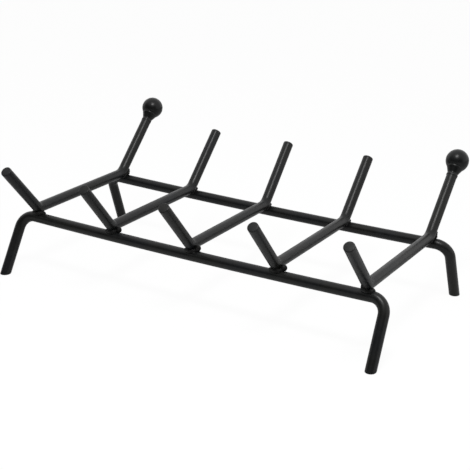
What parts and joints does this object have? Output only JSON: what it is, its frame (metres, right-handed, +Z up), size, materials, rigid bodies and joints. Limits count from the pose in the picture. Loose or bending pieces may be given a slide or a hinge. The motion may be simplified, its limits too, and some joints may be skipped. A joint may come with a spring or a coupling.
{
  "type": "fireplace log grate",
  "caption": "Log grate of bent round steel bar: rails with splayed legs carry welded cradle bars whose arms hold logs above the hearth, with ball finials at the rear corners.",
  "frame": {"origin": "on the floor, under the middle of the grate's bounding box", "axes": "+X along the rails, +Y from the front arms towards the rear arms, +Z up"},
  "size_m": [0.5002, 0.3226, 0.1686],
  "materials": {
    "bar_paint": "satin black heat-resistant paint over round steel bar",
    "weld_paint": "matte black heat-resistant paint over rough weld metal",
    "finial_paint": "satin black heat-resistant paint over turned steel"
  },
  "bodies": {
    "root": {"front_rail": "bar_paint", "rear_rail": "bar_paint", "cradle_bar_1": "bar_paint", "cradle_bar_2": "bar_paint", "cradle_bar_3": "bar_paint", "cradle_bar_4": "bar_paint", "cradle_bar_5": "bar_paint", "ball_finial_left": "finial_paint", "ball_finial_right": "finial_paint", "finial_weld_left": "weld_paint", "finial_weld_right": "weld_paint", "front_weld_1_left": "weld_paint", "front_weld_1_right": "weld_paint", "front_weld_2_left": "weld_paint", "front_weld_2_right": "weld_paint", "front_weld_3_left": "weld_paint", "front_weld_3_right": "weld_paint", "front_weld_4_left": "weld_paint", "front_weld_4_right": "weld_paint", "front_weld_5_left": "weld_paint", "front_weld_5_right": "weld_paint", "rear_weld_1_left": "weld_paint", "rear_weld_1_right": "weld_paint", "rear_weld_2_left": "weld_paint", "rear_weld_2_right": "weld_paint", "rear_weld_3_left": "weld_paint", "rear_weld_3_right": "weld_paint", "rear_weld_4_left": "weld_paint", "rear_weld_4_right": "weld_paint", "rear_weld_5_left": "weld_paint", "rear_weld_5_right": "weld_paint"}
  },
  "joints": []
}
